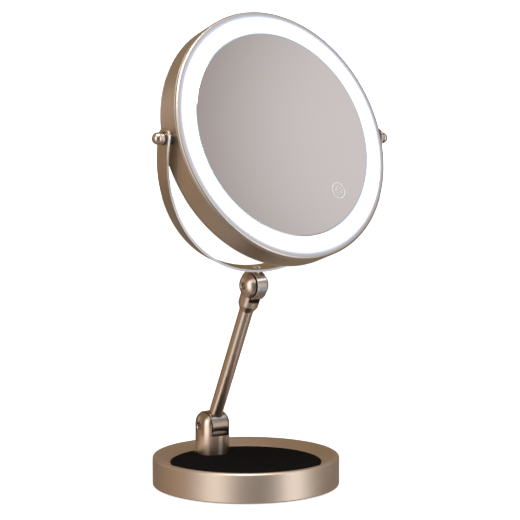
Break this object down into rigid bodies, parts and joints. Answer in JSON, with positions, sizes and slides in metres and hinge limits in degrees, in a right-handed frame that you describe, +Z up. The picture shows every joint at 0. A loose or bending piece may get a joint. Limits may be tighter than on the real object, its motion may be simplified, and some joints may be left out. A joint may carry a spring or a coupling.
{
  "type": "lighted vanity mirror",
  "caption": "Free-standing round vanity mirror with a lit ring, flipping in a U-shaped yoke on a jointed arm over a weighted tray base.",
  "frame": {"origin": "centre of the underside of the base, on the surface that it stands on", "axes": "+Z up, -Y towards the user that the lit face looks at, X along the hinge pins"},
  "size_m": [0.2464, 0.1658, 0.4001],
  "materials": {
    "satin_nickel": "satin, warm nickel plating, fine brushed lines",
    "polished_nickel": "polished nickel plating",
    "plated_steel": "zinc plated",
    "black_foam": "matte, fine grained",
    "cast_iron": "rough, as cast",
    "nylon": "black nylon",
    "white_plastic": "white moulded plastic",
    "opal_acrylic": "opal, lit from behind",
    "silvered_glass": "silvered glass",
    "green_board": "circuit board with solder mask",
    "white_board": "white circuit board with small lamps",
    "battery_wrap": "foil pouch",
    "lead_jacket": "insulated wire"
  },
  "bodies": {
    "base": {"base_shell": "satin_nickel", "base_foot_pad": "black_foam", "base_bottom_plate": "plated_steel", "base_weight": "cast_iron", "base_pad": "black_foam", "base_screw_1": "plated_steel", "base_screw_2": "plated_steel", "base_screw_3": "plated_steel", "post": "satin_nickel", "post_screw": "plated_steel", "post_screw_washer": "plated_steel", "lower_hinge_bolt": "plated_steel", "lower_friction_washer_left": "nylon", "lower_friction_washer_right": "nylon"},
    "arm": {"arm_barrel": "satin_nickel", "arm_tube": "satin_nickel", "arm_fork": "satin_nickel", "upper_hinge_bolt": "plated_steel", "upper_friction_washer_left": "nylon", "upper_friction_washer_right": "nylon"},
    "yoke": {"yoke_tongue": "satin_nickel", "yoke_screw": "polished_nickel", "yoke": "satin_nickel", "pivot_washer_left": "polished_nickel", "pivot_washer_right": "polished_nickel"},
    "head": {"housing_ring": "satin_nickel", "core_frame": "white_plastic", "front_bezel": "satin_nickel", "rear_bezel": "satin_nickel", "front_diffuser": "opal_acrylic", "rear_diffuser": "opal_acrylic", "front_led_board": "white_board", "rear_led_board": "white_board", "front_mirror": "silvered_glass", "rear_mirror": "silvered_glass", "pivot_stud_left": "plated_steel", "pivot_stud_right": "plated_steel", "pivot_spacer_left": "polished_nickel", "pivot_spacer_right": "polished_nickel", "cap_nut_left": "polished_nickel", "cap_nut_right": "polished_nickel", "battery": "battery_wrap", "battery_clip": "white_plastic", "control_board": "green_board", "touch_pad": "nylon", "charge_socket": "plated_steel", "charge_board": "green_board", "battery_lead": "lead_jacket", "charge_lead": "lead_jacket"}
  },
  "joints": [
    {"name": "arm_hinge", "type": "hinge", "parent": "base", "child": "arm", "pos_m": [0, 0.0481, 0.0448], "axis": [1, 0, 0], "range_deg": [-45, 35]},
    {"name": "yoke_hinge", "type": "hinge", "parent": "arm", "child": "yoke", "pos_m": [0, -0.01101, 0.17215], "axis": [1, 0, 0], "range_deg": [-78, 40]},
    {"name": "head_flip", "type": "hinge", "parent": "yoke", "child": "head", "pos_m": [0, -0.04071, 0.29583], "axis": [1, 0, 0], "continuous": true}
  ]
}
